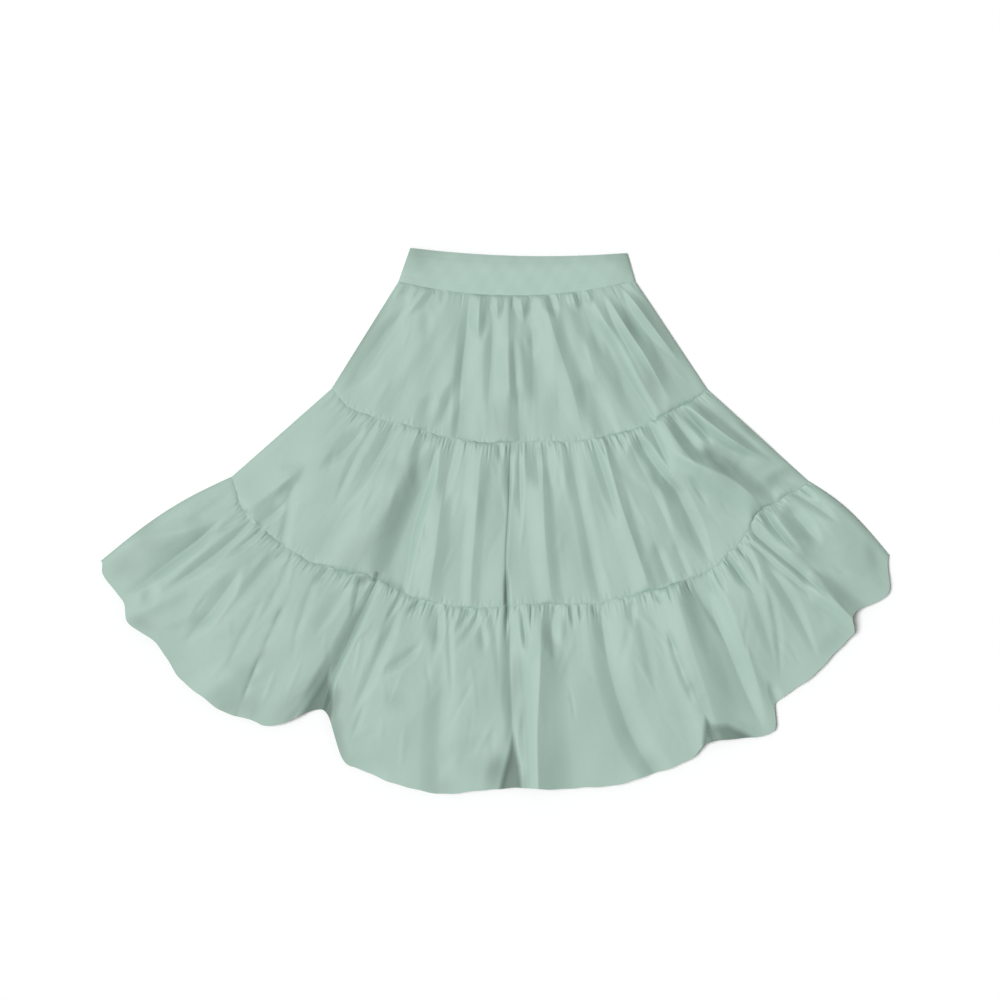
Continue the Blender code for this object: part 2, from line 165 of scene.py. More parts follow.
def foldRelief(rows, share, place, width, narrow=0.0, size=None, last=1.0):
    # Each row: how far down its top, turn and end are, the share at each, the half width in mm of
    # the side that falls to the right at its top and at its end, that of the other side, its
    # height in mm, and how sharp its bottom or crest is. Its line is a parabola through the three
    # places; across it the height falls as (1 - s)(1 - s)(1 + 2 (1 - sharp) s), s being the
    # distance over that side's half width.
    total = np.zeros_like(share)
    for top, turn, end, atTop, atTurn, atEnd, fallTop, fallEnd, other, height, sharp in rows:
        d = np.clip(place, top, end)
        middle = (atTop * (d - turn) * (d - end) / ((top - turn) * (top - end))
                  + atTurn * (d - top) * (d - end) / ((turn - top) * (turn - end))
                  + atEnd * (d - top) * (d - turn) / ((end - top) * (end - turn)))
        along = np.clip((place - top) / (end - top), 0.0, 1.0)
        waver = 0.8 * np.sin(9.0 * place + 50.0 * atTop)
        across = (share - middle) * width * 1000.0 + waver
        slim = 1.0 - narrow * along
        fall, rest = (fallTop + (fallEnd - fallTop) * along) * slim, other * slim
        grown = 1.0
        if size:
            fall, rest = size["fall"] * fall, size["other"] * rest
            grown = size["height"] + size["wideHeight"] * 0.5 * (fallTop + fallEnd)
            sharp = min(sharp + size["sharp"], 1.0)
        fade = ease(along / 0.3) if top > 0.0 else 1.0    # from a seam it starts whole
        if end < last:
            fade = fade * ease((1.0 - along) / 0.45)
        taper = 0.4 + 0.6 * fade
        fall, rest = fall * taper, rest * taper
        left, right = (fall, rest) if height < 0.0 else (rest, fall)
        s = np.clip(np.where(across < 0.0, -across / left, across / right), 0.0, 1.0)
        if size:
            sharp = np.where((across < 0.0) == (height < 0.0), sharp, size["calm"] * sharp)
        total += 0.001 * grown * height * fade * (1.0 - s) ** 2 * (1.0 + 2.0 * (1.0 - sharp) * s)
    return total


def patches(rows, share, part, width, unit):
    # each row, by share in thousandths, part in hundredths, half width in mm, half length in
    # hundredths and strength, adds (1 - r r)(1 - r r) of its strength at r of its radius
    total = np.zeros_like(share)
    for atShare, atPart, halfWidth, halfLength, strength in rows:
        across = (share - atShare / 1000.0) * width * 1000.0 / halfWidth
        down = (part - atPart / 100.0) / (halfLength / 100.0)
        total += unit * strength * np.clip(1.0 - across ** 2 - down ** 2, 0.0, 1.0) ** 2
    return total


def drawGathers(count, deep, seed):
    # uneven creases under a seam: most are short, a few run far down the tier
    rng = np.random.default_rng(seed)
    place = (np.arange(count) + rng.uniform(0.1, 0.9, count)) / count
    length = 0.035 + 0.11 * rng.uniform(0.0, 1.0, count) ** 2.0
    fall = rng.uniform(3.2, 6.0, count)
    depth = -deep * rng.uniform(0.4, 1.0, count)
    tilt = rng.normal(0.0, 0.12, count) / count + 0.03 * (place - 0.5) * length
    return [
        (-0.02, 0.5 * run, run, at, at + 0.6 * lean, at + lean, wide * 1.2, wide, wide * 0.8, low,
         0.6)
        for run, at, lean, wide, low in zip(length, place, tilt, fall, depth)
    ]


def drawFaint(count, seed):
    # faint short creases and ridges scattered over a tier, so that no broad face is quite plain
    rng = np.random.default_rng(seed)
    place, start = rng.uniform(0.01, 0.99, count), rng.uniform(0.03, 0.75, count)
    run = rng.uniform(0.12, 0.34, count)
    lean = rng.normal(0.0, 0.012, count) + 0.05 * (place - 0.5) * run
    fall, rest = rng.uniform(5.0, 13.0, (2, count))
    height = rng.uniform(0.25, 0.75, count) * rng.choice((-1.0, 1.0), count)
    return [
        (top, top + 0.5 * long, top + long, at - turn, at + 0.1 * turn, at + turn, wide, wide,
         other, high, 0.3)
        for top, long, at, turn, wide, other, high in zip(start, run, place, lean, fall, rest,
                                                          height)
    ]


def drawPuckers(count, seed):
    # short creases on the flat side of a seam, drawn up by the stitches
    rng = np.random.default_rng(seed)
    place = (np.arange(count) + rng.uniform(0.0, 1.0, count)) / count
    length = rng.uniform(0.015, 0.06, count)
    depth = -rng.uniform(0.2, 0.9, count)
    return [
        (1.0 - run, 1.0 - 0.3 * run, 1.02, at, at, at, 3.5, 3.5, 3.0, low, 0.4)
        for run, at, low in zip(length, place, depth)
    ]


def softSwell(share, drop, size):
    # three slow sine waves that keep the broad faces from lying dead flat
    waves = ((5.0, 0.9, 0.3, 1.0), (9.0, -1.3, 2.1, 0.7), (16.0, 1.7, 4.0, 0.3))
    total = np.zeros_like(share)
    for across, down, phase, weight in waves:
        total += weight * np.sin(2.0 * math.pi * (across * share + down * drop) + phase)
    return size * total


cloth = {
    "wall": 0.0009,           # thickness of the sateen
    "layerGap": 0.0011,       # the front layer's least height over the floor, less one wall
    "gatherGap": 0.0022,      # and this much more where both layers are gathered
    "gatherShare": 0.04,      # share over which gathers fade out at the side edges
    "backRise": 0.0011,       # how high the back layer's gathers stand
    "edgeRound": 0.012,       # the front rounds down over this width at the side edges
    "edgeSlope": 0.045,       # and slopes down to them over twice this one
    "leftSloped": 0.62,       # how much of it is slope on the left side, the rest being round
    "rightSloped": 0.28,      # and on the right side
    "softFloor": 0.0016,      # how softly a deep fold comes to rest on the back layer
    "tuck": 0.0016,           # how far a tier dips where it goes under its upper seam
    "stitchDip": 0.0008,      # how far the stitches draw down the tier's foot
    "swell": 0.0007,          # size of the slow waves of the first tier's broad face
}


def backUpper(tier, share, part):
    # the back layer's upper face: one wall, raised a little by its gathers
    rows = drawGathers(tier["backGathers"], 1.0, tier["seed"] + 5)
    ripple = 1000.0 * foldRelief(rows, share, part, widthAt(tier["number"] - 1 + part), narrow=0.5)
    lift = cloth["backRise"] * (1.0 - ease(part / 0.45)) * (1.0 + np.clip(ripple, -1.0, 0.0))
    return cloth["wall"] + lift * sideWeight(share, cloth["gatherShare"])


def clearance(tier, share, part):
    # the front's lower face over the floor: one wall, the gap, and the room for the gathers,
    # which eases out down the tier and in again above a seam
    gathers = 1.0 - ease(part / 0.9)
    if tier["number"] < 3:
        gathers = gathers + ease((part - 0.75) / 0.25)
    room = cloth["gatherGap"] * gathers * sideWeight(share, cloth["gatherShare"])
    return cloth["wall"] + cloth["layerGap"] + room


# the two joins of the lowest tier that show lean outwards down to the hem: share, lean
joins = {
    "left": (0.170, 0.045),
    "right": (0.707, 0.0255),
    "back": 0.555,            # where the outer strips meet on the back
    "spread": 0.15,           # share over which the cloth beside a join leans too
    "groove": 0.0013,
    "grooveWidth": 0.0032,
    "pucker": 0.0022,
    "puckerWidth": 0.0065,
    "paintedShade": 0.30,             # painted shade in the left join's groove
    "paintedShadeWidth": 0.0045,
}


def leaning(share, part):
    # near a join, the share moves on by its lean times the part, fading out over the spread
    moved = share
    for at, lean in (joins["left"], joins["right"]):
        moved = moved + lean * part * (1.0 - ease(np.abs(share - at) / joins["spread"]))
    return moved


def joinRelief(keys, part, width):
    # a fine groove along each join, exp(-(d / w)(d / w)) across it and uneven along it, with
    # short puckers over it
    total = np.zeros_like(keys)
    for place, side in enumerate(("left", "right")):
        away = np.abs(keys - joins[side][0]) * width
        uneven = np.sin(29.0 * part + 1.7 * place) * np.sin(11.0 * part + 0.8)
        pull = np.clip(0.45 + 0.75 * uneven, 0.05, 1.0)
        beat = 2.0 * math.pi * (11.0 + 3.0 * place) * part + 2.0 * np.sin(9.0 * part)
        groove = joins["groove"] * np.exp(-(away / joins["grooveWidth"]) ** 2)
        pucker = joins["pucker"] * np.sin(beat) ** 2 * np.exp(-(away / joins["puckerWidth"]) ** 2)
        total -= pull * (groove + pucker)
    return total * ease((part - 0.12) / 0.25)


def joinShade(keys, part, width):
    # the painted shade in the left join's groove: broken, and fading in below the seam
    away = np.abs(keys - joins["left"][0]) * width
    broken = 0.6 + 0.4 * np.sin(31.0 * part + 1.0) * np.sin(13.0 * part)
    ends = ease((part - 0.15) / 0.3) * ease((0.95 - part) / 0.3)
    return joins["paintedShade"] * broken * np.exp(-(away / joins["paintedShadeWidth"]) ** 2) * ends


# what runs on through the tiers, placed by drops
deepFolds = {
    # rows for placed and foldRelief
    "creases": (
        (97, 155, 208, 479.5, 478.5, 480, 3.2, 4.2, 3.4, -22, 6),
        (95, 108, 138, 480, 479.5, 478.5, 14, 6, 9, -26, 4),
        (174, 198, 222, 480, 481.5, 489, 6, 9, 7, -60, 6),
        (190, 250, 315, 281, 281.5, 295, 13, 36, 11, -86, 1),
    ),
    # where the hem gapes or a fold closes and the cloth below shows in shadow: corners as share and
    # drop, depth and soft edge in mm, and the darkness of the painted shade there
    "pockets": (
        ((0.510, 2.64), (0.5245, 2.88), (0.530, 3.06), (0.498, 3.06), 3.0, 10.0, 0.85),
        ((0.731, 2.80), (0.746, 3.08), (0.712, 3.08), 3.0, 8.0, 0.78),
        ((0.724, 2.875), (0.752, 2.885), (0.797, 3.12), (0.714, 3.08), 3.0, 13.0, 0.70),
        ((0.274, 2.58), (0.293, 2.80), (0.320, 3.08), (0.268, 3.08), 2.5, 14.0, 0.75),
        ((0.4790, 1.80), (0.4850, 2.00), (0.4735, 2.00), 0.5, 3.0, 0.55),
        ((0.4760, 1.99), (0.4860, 1.99), (0.4895, 2.13), 0.5, 3.0, 0.50),
        ((0.2680, 1.955), (0.2765, 1.955), (0.2780, 2.03), (0.2680, 2.03), 0.5, 3.0, 0.60),
    ),
    "dropDepth": 270.0,       # mm to a drop of 1
    "fullShadeDepth": 0.010,        # depth at which a crease's painted shade is darkest
    # strength of the painted shade in the deepest creases
    "creaseShadeStrength": 0.36,
}


def pocketDepth(share, drop, width):
    # inside each outline the depth grows with the distance from its nearest side, over its soft
    # edge, and so does the painted shade that stands for the cloth below lying in shadow
    depthTotal, shadeTotal = np.zeros_like(share), np.zeros_like(share)
    x, y = share * width * 1000.0, drop * deepFolds["dropDepth"]
    for *corners, depth, edge, darkness in deepFolds["pockets"]:
        points = [(at * width * 1000.0, down * deepFolds["dropDepth"]) for at, down in corners]
        inside = np.full_like(share, np.inf)
        for (x1, y1), (x2, y2) in zip(points, points[1:] + points[:1]):
            toSide = (x1 - x) * (y2 - y1) - (y1 - y) * (x2 - x1)
            inside = np.minimum(inside, toSide / np.hypot(x2 - x1, y2 - y1))
        cover = ease(inside / edge)
        depthTotal = np.maximum(depthTotal, 0.001 * depth * cover)
        shadeTotal = np.maximum(shadeTotal, darkness * cover)
    return depthTotal, shadeTotal


def bodyHeight(tier, share, part):
    # the smooth swell of a tier: it leaves the upper seam quickly, as 1 - exp(-distance / over),
    # goes on slowly to its full rise, and eases down to the lower seam or to the hem
    above, rise, quick = tier["above"], tier["rise"], tier["quick"]
    risen = quick * (1.0 - np.exp(-np.maximum(part, 0.0) * tier["depth"] / tier["over"]))
    if "hemRise" in tier:
        body = above + (rise - above) * (risen + (1.0 - quick) * ease(part / 0.42))
        hem = tier["hemRise"] - tier["hemFall"] * ease((share - 0.55) / 0.3)
        return body + (hem - rise) * ease((part - 0.35) / 0.65)
    body = above + (tier["seamRise"] - above) * part
    swell = risen + (1.0 - quick) * ease(part / 0.38)
    return body + (rise - body) * swell * ease((1.0 - part) / 0.48)


def heldAtSeam(relief, distance, least, growth, fade):
    # near a seam the relief is held within least + growth x distance, by a tanh, and fades out at
    # the stitches as 1 - exp(-distance / fade)
    bound = least + growth * distance
    return bound * np.tanh(relief / bound) * (1.0 - np.exp(-distance / fade))


def gatherPuffs(tier, share, fromTop):
    # the cloth puffs up just under a seam, as t exp(1 - t) with t = distance / 7 mm, unevenly
    uneven = np.zeros_like(share)
    for waves, phase, weight in ((13, 0.4, 0.35), (29, 2.0, 0.30), (53, 4.1, 0.20)):
        turn = 2.0 * math.pi * waves * tier["number"] * share + phase + 2.0 * np.sin(17.0 * share)
        uneven = uneven + weight * np.sin(turn)
    t = fromTop / 0.007
    return tier["puff"] * (1.0 + uneven) * t * np.exp(1.0 - t)


def creaseShade(height, spacing):
    # how far a point lies below the mean of its neighbours 16 mm to each side, to 1 at 5 mm
    reach = max(1, round(0.016 / spacing))
    padded = np.pad(height, ((0, 0), (reach, reach)), mode="edge")
    summed = np.cumsum(np.pad(padded, ((0, 0), (1, 0))), axis=1)
    mean = (summed[:, 2 * reach + 1:] - summed[:, :-2 * reach - 1]) / (2 * reach + 1)
    return np.clip((mean - height) / 0.005, 0.0, 1.0)


def frontRelief(tier, share, part, width, keys):
    # the listed folds, the gathers, the faint creases and the broad swells, held in at both seams
    seed = tier["seed"]
    fromTop, fromFoot = part * tier["depth"], (1.0 - part) * tier["depth"]
    gathers = drawGathers(tier["frontGathers"], tier["gatherDepth"], seed)
    relief = foldRelief(placed(tier["folds"]), share, part, width, size=foldSize, last=1.02)
    relief = relief + foldRelief(gathers, share, part, width, narrow=0.5)
    relief = relief + foldRelief(drawFaint(tier["faint"], seed + 2), share, part, width, last=1.4)
    relief = relief + patches(tier["swells"], share, part, width, 0.001)
    if tier["number"] < 3:
        puckers = drawPuckers(3 * tier["frontGathers"], seed + 9)
        relief = relief + foldRelief(puckers, share, part, width)
        relief = heldAtSeam(relief, fromFoot, 0.0018, 0.40, 0.002)
    else:
        relief = relief + joinRelief(keys, part, width)
    relief = heldAtSeam(relief, fromTop, 0.0030, 0.6, 0.0022)
    return relief + gatherPuffs(tier, share, fromTop)


def frontUpper(tier, share, part, keys):
    # The front layer's upper face, and the painted shade of its creases, deep folds, pockets, join
    # and the cloth under its folds. The height is the body's swell, the relief and the deep folds,
    # resting softly on the back layer as (h + sqrt(h h + f f)) / 2, and rounded down to the side
    # edges.
    body = bodyHeight(tier, share, part)
    width = widthAt(tier["number"] - 1 + part)
    tuck = cloth["tuck"] * ease(-part / 0.008)
    part = np.maximum(part, 0.0)
    drop = tier["number"] - 1 + part
    fromTop, fromFoot = part * tier["depth"], (1.0 - part) * tier["depth"]
    relief = frontRelief(tier, share, part, width, keys)
    deep = foldRelief(placed(deepFolds["creases"]), share, drop, width, last=3.1)
    # painted shade in the deep creases, growing with their depth
    paintedShade = deepFolds["creaseShadeStrength"] * ease(-deep / deepFolds["fullShadeDepth"]) ** 1.5
    hollow, pocketShade = pocketDepth(share, drop, width)
    # painted shade in the pockets and in the soft patches beside and under the folds
    paintedShade = np.maximum(paintedShade, pocketShade) + patches(tier["shades"], share, part, width, 0.01)
    if tier["number"] == 3:
        # painted shade in the left join's groove
        paintedShade = paintedShade + joinShade(keys, part, width)
    relief = relief + deep - hollow
    relief = relief + softSwell(share, drop, cloth["swell"] * math.sqrt(tier["number"]))
    relief = relief - tier["groove"] * np.exp(-fromTop / 0.0024)
    if tier["number"] < 3:
        relief = relief - cloth["stitchDip"] * np.exp(-fromFoot / 0.0016)
    height = body + relief
    height = 0.5 * (height + np.sqrt(height * height + cloth["softFloor"] ** 2))
    fromSide = np.minimum(share, 1.0 - share) * width
    towardsRight = ease((share - 0.4) / 0.2)
    sloped = cloth["leftSloped"] + (cloth["rightSloped"] - cloth["leftSloped"]) * towardsRight
    rounding = ((1.0 - sloped) * sideWeight(share, cloth["edgeRound"] / width)
                + sloped * ease(0.5 * fromSide / cloth["edgeSlope"]))
    upper = clearance(tier, share, part) + height * rounding + cloth["wall"] - tuck
    span = (share[0, -1] - share[0, 0]) * lineLength(tier["lines"][1])
    # painted shade in hollows: a point below its neighbours takes some of the shade colour
    paintedCreaseShade = creaseShade(upper, span / (share.shape[1] - 1))
    return upper, np.clip(0.30 * paintedCreaseShade + paintedShade, 0.0, 1.0)


def withHeight(points, height):
    # points in the plane, with the height as their z
    raised = np.broadcast_to(height, points.shape[:-1])[..., None]
    return np.concatenate([points, raised], axis=-1)


def lowered(upper, wall, least):
    # the face one wall below, thicker upright where the cloth is steep, and never under the least
    normal = np.cross(np.gradient(upper, axis=1), np.gradient(upper, axis=0))
    upright = np.abs(normal[..., 2]) / np.maximum(np.linalg.norm(normal, axis=-1), 1e-12)
    lower = upper.copy()
    lower[..., 2] = np.maximum(upper[..., 2] - wall / np.clip(upright, 0.5, 1.0), least)
    return lower


def rowParts(tier):
    # rows close together near both ends of a tier and wide apart between: the rows' spacing grows
    # from its closest at an end to its widest, and is added up; two rows go under the upper seam
    fine = np.linspace(0.0, 1.0, 2001)
    spacing = 0.0035 + 0.020 * ease(fine / 0.16) * ease((1.0 - fine) / tier["closeRows"])
    reached = np.concatenate([[0.0], np.cumsum(0.5 / spacing[1:] + 0.5 / spacing[:-1])])
    evenly = np.linspace(0.0, reached[-1], tier["rows"] - 2)
    return np.concatenate([tier["underSeam"], np.interp(evenly, reached, fine)])


def frontSheet(tier, shares):
    # the front layer: outer face at its height, inner face a wall below and clear of the back; u
    # is the distance along the cloth before it was gathered
    keys, part = np.meshgrid(shares, rowParts(tier))
    share = leaning(keys, part) if tier["number"] == 3 else keys
    upper, shade = frontUpper(tier, share, part, keys)
    outer = withHeight(tierAt(tier, share, part), upper)
    inner = lowered(outer, cloth["wall"], backUpper(tier, share, part) + 0.0002)
    uv = np.stack([share * 1.25 * lineLength(tier["lines"][1]), part * 0.27], axis=-1)
    return outer, inner, uv, shade


def backSheet(tier, shares):
    # the back layer: inner face up, at its gathers' height, outer face a wall and 0.4 mm below
    # that, and flat where that meets the floor
    coarse = dict(tier, rows=tier["backRows"])
    share, part = np.meshgrid(shares, np.maximum(rowParts(coarse), -0.002))
    inner = withHeight(tierAt(tier, share, part, back=True), backUpper(tier, share, part))
    outer = inner.copy()
    outer[..., 2] = np.clip(inner[..., 2] - cloth["wall"] - 0.0004, 0.0, None)
    uv = np.stack([3.0 - share * 1.25 * lineLength(tier["lines"][1]), part * 0.27], axis=-1)
    return outer, inner, uv, np.zeros_like(share)


def wrapped(front, back, leftEdge):
    # joins a front stretch and a back one round the side edge by three columns on a half circle:
    # middle + half difference cos a + outward sin a
    side = 0 if leftEdge else -1
    outward = np.array([-1.0 if leftEdge else 1.0, 0.0, 0.0])
    turn = np.radians(np.array([45.0, 90.0, 135.0]))[:, None, None]
    joined = []
    for place, (over, under) in enumerate(zip(front, back)):
        edge = np.repeat(over[:, side][:, None], 3, axis=1)    # the uv and the shade run on
        if place < 2:
            push = (0.0018, 0.0009)[place]                     # of the outer and the inner face
            middle = 0.5 * (over[:, side] + under[:, side])
            half = 0.5 * (over[:, side] - under[:, side])
            around = middle + half * np.cos(turn) + outward * push * np.sin(turn)
            edge = np.swapaxes(around, 0, 1)
        under = under[:, ::-1]
        stretches = (under, edge[:, ::-1], over) if leftEdge else (over, edge, under)
        joined.append(np.concatenate(stretches, axis=1))
    return joined


def addObject(name, data):
    made = bpy.data.objects.new(name, data)
    bpy.context.scene.collection.objects.link(made)
    return made


def makeCloth(name, node, sheet, material):
    # one closed wall from two grids: outer face, inner face and the four edges between them
    outer, inner, uv, shade = sheet
    rows, columns = outer.shape[:2]
    count = rows * columns
    index = np.arange(count).reshape(rows, columns)
    a, b, c, d = index[:-1, :-1], index[:-1, 1:], index[1:, 1:], index[1:, :-1]
    outerFaces = np.stack([a, d, c, b], axis=-1).reshape(-1, 4)
    innerFaces = np.stack([a, b, c, d], axis=-1).reshape(-1, 4) + count
    border = np.concatenate([index[0, :-1], index[:-1, -1], index[-1, :0:-1], index[:0:-1, 0]])
    following = np.roll(border, -1)
    rim = np.stack([border, following, following + count, border + count], axis=-1)
    faces = np.concatenate([outerFaces, innerFaces, rim]).astype(np.int32)
    points = np.concatenate([outer.reshape(-1, 3), inner.reshape(-1, 3)]).astype(np.float32)
    flatUv = np.concatenate([uv.reshape(-1, 2)] * 2)[faces.ravel()].astype(np.float32)

    mesh = bpy.data.meshes.new(name)
    mesh.vertices.add(len(points))
    mesh.vertices.foreach_set("co", points.ravel())
    mesh.loops.add(faces.size)
    mesh.loops.foreach_set("vertex_index", faces.ravel())
    mesh.polygons.add(len(faces))
    mesh.polygons.foreach_set("loop_start", np.arange(0, faces.size, 4, dtype=np.int32))
    mesh.update(calc_edges=True)
    mesh.uv_layers.new(name="weave").data.foreach_set("uv", flatUv.ravel())
    mesh.polygons.foreach_set("use_smooth", np.ones(len(faces), dtype=bool))
    # painted shade: how much of the darker shade colour each point takes, alike on both faces
    depth = mesh.attributes.new("paintedShadeAmount", "FLOAT", "POINT")
    depth.data.foreach_set("value", np.tile(shade.ravel(), 2).astype(np.float32))

    # the two borders are sharp, so the wall's edge doesn't shade into its faces
    ends = np.empty(2 * len(mesh.edges), dtype=np.int32)
    mesh.edges.foreach_get("vertices", ends)
    first, second = ends.reshape(-1, 2).T
    onRim = np.zeros(2 * count, dtype=bool)
    onRim[np.concatenate([border, border + count])] = True
    sharp = onRim[first] & onRim[second] & ((first < count) == (second < count))
    mesh.edges.foreach_set("use_edge_sharp", sharp)
    mesh.validate()
    mesh.materials.append(material)

    piece = addObject(name, mesh)
    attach(piece, "root")
    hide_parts(node)
    print("made", name, len(faces) * 2, "triangles")
    return piece


class Socket:
    # one output of a node, on which sums add their Math nodes
    def __init__(self, tree, output):
        self.tree, self.output = tree, output

    def maths(self, operation, first, second):
        return addNode(self.tree, "ShaderNodeMath", {"operation": operation}, {0: first, 1: second})

    def __add__(self, other):
        return self.maths("ADD", self, other)

    def __radd__(self, other):
        return self.maths("ADD", other, self)

    def __mul__(self, other):
        return self.maths("MULTIPLY", self, other)

    def __rmul__(self, other):
        return self.maths("MULTIPLY", other, self)


def setInputs(tree, node, inputs):
    # each socket, by name or place, gets a link where its value is a Socket, or else the value
    for place, value in inputs.items():
        if isinstance(value, Socket):
            tree.links.new(value.output, node.inputs[place])
        else:
            node.inputs[place].default_value = value


def addNode(tree, kind, settings, inputs, output=0):
    # makes one node, its settings first and then its sockets, and gives one of its outputs
    made = tree.nodes.new(kind)
    for name, value in settings.items():
        setattr(made, name, value)
    setInputs(tree, made, inputs)
    return Socket(tree, made.outputs[output])


sateen = {
    "light": (0.380, 0.520, 0.450),
    "deep": (0.348, 0.482, 0.418),
    # painted shade: the darker colour that stands for the shade in creases, hollows and under folds
    "paintedCreaseShade": (0.125, 0.185, 0.155),
    "roughness": 0.52,
    "sheen": 0.05,
    "sheenRoughness": 0.4,
    "specular": 0.6,
    "weavePitch": 0.00050,
    "weaveHeight": 0.00002,
    "slubHeight": 0.00003,
    "wrinkleHeight": 0.0007,
}


def sateenMaterial(name, seed, smooth=1.0, paintedLight=1.0):
    # pale green cotton sateen: a close satin weave, a soft sheen, slow changes of tone, and painted
    # shade: a darker colour mixed in by the mesh's shade attribute, standing for the shade in
    # creases, hollows, gaping pockets and under folds
    material = bpy.data.materials.new(name)
    material.use_nodes = True
    tree = material.node_tree
    uv = addNode(tree, "ShaderNodeTexCoord", {}, {}, "UV")
    place = addNode(tree, "ShaderNodeTexCoord", {}, {}, "Object")
    # how much painted shade each point carries
    paintedCreaseShade = addNode(tree, "ShaderNodeAttribute", {"attribute_name": "paintedShadeAmount"}, {}, "Fac")

    noises = []
    for at, offset, scale, detail, rough in (
        (place, 0.0, 9.0, 3.0, 0.5),          # tone
        (uv, 3.0, 420.0, 2.0, 0.6),           # slubs in the yarn
        (place, 9.0, 38.0, 3.0, 0.5),         # wrinkles
    ):
        sockets = {"Vector": at, "W": seed + offset, "Scale": scale, "Detail": detail,
                   "Roughness": rough}
        noises.append(addNode(tree, "ShaderNodeTexNoise", {"noise_dimensions": "4D"}, sockets,
                              "Fac"))
    tone, slub, wrinkle = noises
    weave = addNode(
        tree, "ShaderNodeTexWave", {"wave_type": "BANDS", "bands_direction": "DIAGONAL"},
        {"Vector": uv, "Scale": math.pi / 10.0 / sateen["weavePitch"], "Distortion": 0.6,
         "Detail": 1.0}, "Fac")

    mixed = {"Factor": 0.75 * tone + 0.25 * slub}
    for at, shade in ((6, "deep"), (7, "light")):         # the Mix node's two colours
        mixed[at] = [paintedLight * value for value in sateen[shade]] + [1.0]
    colour = addNode(tree, "ShaderNodeMix", {"data_type": "RGBA"}, mixed, 2)
    # painted shade: the colour goes towards the shade colour by that amount
    shaded = addNode(tree, "ShaderNodeMix", {"data_type": "RGBA"},
                     {"Factor": paintedCreaseShade, 6: colour, 7: (*sateen["paintedCreaseShade"], 1.0)}, 2)
    relief = (sateen["weaveHeight"] * weave + sateen["slubHeight"] * slub
              + smooth * sateen["wrinkleHeight"] * wrinkle)
    bump = addNode(tree, "ShaderNodeBump", {}, {"Height": relief, "Strength": 1.0, "Distance": 1.0})
    setInputs(tree, tree.nodes["Principled BSDF"], {
        "Base Color": shaded,
        "Roughness": sateen["roughness"] + 0.12 * tone + 0.04 * slub,
        "Sheen Weight": sateen["sheen"],
        "Sheen Roughness": sateen["sheenRoughness"],
        "Specular IOR Level": sateen["specular"],
        "Normal": bump,
    })
    return material


# the band's sateen is a lighter copy of the tiers' one: painted light, for the band showing
# brighter in the light than the tiers
bandCloth = sateenMaterial("bandSateen", 1.0, smooth=0.4, paintedLight=1.07)
tierCloth = sateenMaterial("tierSateen", 2.0)
print("made the sateens")

band = {
    "columns": 240,
    "rows": 40,
    "backRows": 16,
    "depth": 0.06,
    "width": 0.36,
    "wall": 0.0020,           # folded cloth over a facing
    "clear": 0.0025,          # how far the front stands clear of the back's wall, in the middle
    "crown": 0.0009,
    "edgeRound": 0.0003,      # the top edge rounds down by this
    # faint lines along the band: place down it, depth
    "lines": ((0.16, 0.00035), (0.52, 0.0002), (0.80, 0.0003)),
    "backDip": 0.003,         # the back's top edge lies this far below the front's
    "ribs": 48,               # small gathers over the elastic
    "ribRise": 0.0006,
    "leftShade": 0.30,
    "rightShade": 0.22,
    "topShade": 0.15,
}


def bandAt(rows, dip):
    # straight from the waist's line, less the dip, to the waist seam
    share, part = np.meshgrid(np.linspace(0.0, 1.0, band["columns"]), np.linspace(0.0, 1.0, rows))
    top, foot = lineAt("waist", share), lineAt("waistSeam", share)
    top[..., 1] -= dip * sideWeight(share, 0.03)
    return share, part, top + (foot - top) * part[..., None]


def makeBandFront():
    # the crown is a half sine wave down the band, and each line exp(-(d / w)(d / w)); the ends and
    # the top get painted shade, less so towards the foot
    share, part, points = bandAt(band["rows"], 0.0)
    crown = band["crown"] * np.sin(math.pi * part)
    crown = crown - band["edgeRound"] * np.exp(-part * band["depth"] / 0.0030)
    for at, depth in band["lines"]:
        crown = crown - depth * np.exp(-((part - at) / 0.025) ** 2)
    lift = (crown + band["clear"] + softSwell(share, part, 0.0002)) * sideWeight(share, 0.06)
    outer = withHeight(points, 2.0 * band["wall"] + 0.0003 + lift)
    inner = lowered(outer, band["wall"], band["wall"] + 0.0008)
    uv = np.stack([share * 0.37, part * band["depth"]], axis=-1)
    across = share * band["width"]
    shade = (band["leftShade"] * (1.0 - ease(across / 0.075))
             + band["rightShade"] * (1.0 - ease((band["width"] - across) / 0.06))
             + band["topShade"] * (1.0 - ease(part / 0.45)))
    shade = shade * (0.35 + 0.65 * (1.0 - ease((part - 0.35) / 0.5)))
    return makeCloth("waistbandFront", "waistband_front", (outer, inner, uv, shade), bandCloth)


def makeBandBack():
    # flat below; above, its ribs stand as the square of a sine wave, uneven across
    share, part, points = bandAt(band["backRows"], band["backDip"])
    wave = np.sin(math.pi * band["ribs"] * share + 2.0 * np.sin(9.0 * share))
    inner = withHeight(points, band["wall"] + band["ribRise"] * wave ** 2 * sideWeight(share, 0.06))
    uv = np.stack([1.0 - share * 0.5, part * band["depth"]], axis=-1)
    sheet = withHeight(points, 0.0), inner, uv, np.zeros_like(share)
    return makeCloth("waistbandBack", "waistband_back", sheet, bandCloth)


bandFront = makeBandFront()
bandBack = makeBandBack()


def makeUpperTier(tier):
    # the front panel, and the back one with a third of its columns
    number, columns = tier["number"], tier["columns"]
    front = makeCloth(f"tier{number}Front", f"tier_{number}_front",
                      frontSheet(tier, np.linspace(0.0, 1.0, columns)), tierCloth)
    back = makeCloth(f"tier{number}Back", f"tier_{number}_back",
                     backSheet(tier, np.linspace(0.0, 1.0, columns // 3)), tierCloth)
    return front, back


